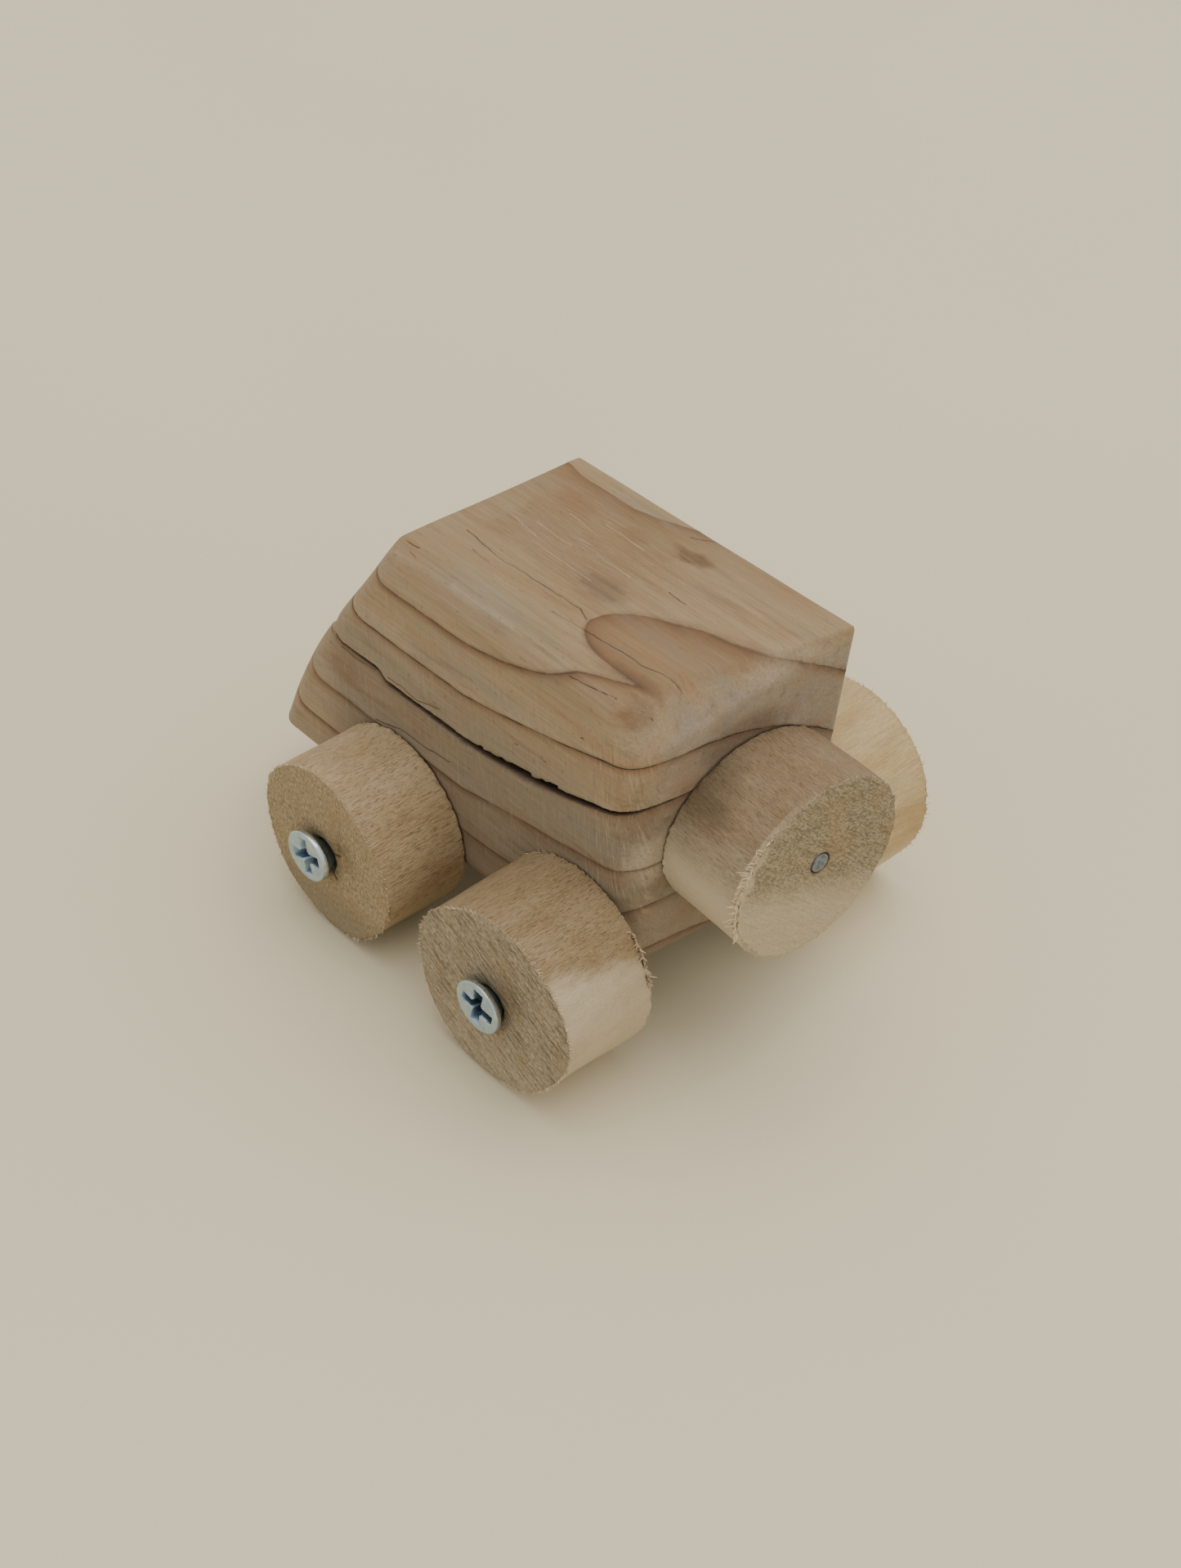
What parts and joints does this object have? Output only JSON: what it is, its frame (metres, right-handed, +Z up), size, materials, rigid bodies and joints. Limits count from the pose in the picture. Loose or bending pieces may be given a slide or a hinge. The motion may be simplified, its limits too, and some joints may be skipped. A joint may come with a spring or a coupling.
{
  "type": "toy car",
  "caption": "Handmade wooden toy car: one sawn block with a sloping nose, dowel-slice wheels that turn on wood screws, and a spare wheel nailed to the rear.",
  "frame": {"origin": "on the ground, under the middle of the whole car's box", "axes": "-Y to the nose, +Y to the spare wheel, +X to the car's left side, +Z up"},
  "size_m": [0.085, 0.1036, 0.067],
  "materials": {
    "block_wood": "sanded bare softwood",
    "wheel_wood": "sawn bare dowel",
    "spare_wood": "sawn bare dowel",
    "screw_zinc": "bright zinc plate",
    "nail_steel": "dull bare steel"
  },
  "bodies": {
    "car": {"body_block": "block_wood", "screw_front_left": "screw_zinc", "screw_rear_left": "screw_zinc", "screw_front_right": "screw_zinc", "screw_rear_right": "screw_zinc", "spare_wheel": "spare_wood", "spare_nail": "nail_steel"},
    "front_left_wheel": {"wheel_front_left": "wheel_wood"},
    "rear_left_wheel": {"wheel_rear_left": "wheel_wood"},
    "front_right_wheel": {"wheel_front_right": "wheel_wood"},
    "rear_right_wheel": {"wheel_rear_right": "wheel_wood"}
  },
  "joints": [
    {"name": "front_left_wheel_spin", "type": "hinge", "parent": "car", "child": "front_left_wheel", "pos_m": [0.03035, -0.01816, 0.01558], "axis": [1, 0, 0], "continuous": true},
    {"name": "rear_left_wheel_spin", "type": "hinge", "parent": "car", "child": "rear_left_wheel", "pos_m": [0.0313, 0.02374, 0.01608], "axis": [1, 0, 0], "continuous": true},
    {"name": "front_right_wheel_spin", "type": "hinge", "parent": "car", "child": "front_right_wheel", "pos_m": [-0.0248, -0.01816, 0.01578], "axis": [1, 0, 0], "continuous": true},
    {"name": "rear_right_wheel_spin", "type": "hinge", "parent": "car", "child": "rear_right_wheel", "pos_m": [-0.0283, 0.02344, 0.01678], "axis": [1, 0, 0], "continuous": true}
  ]
}
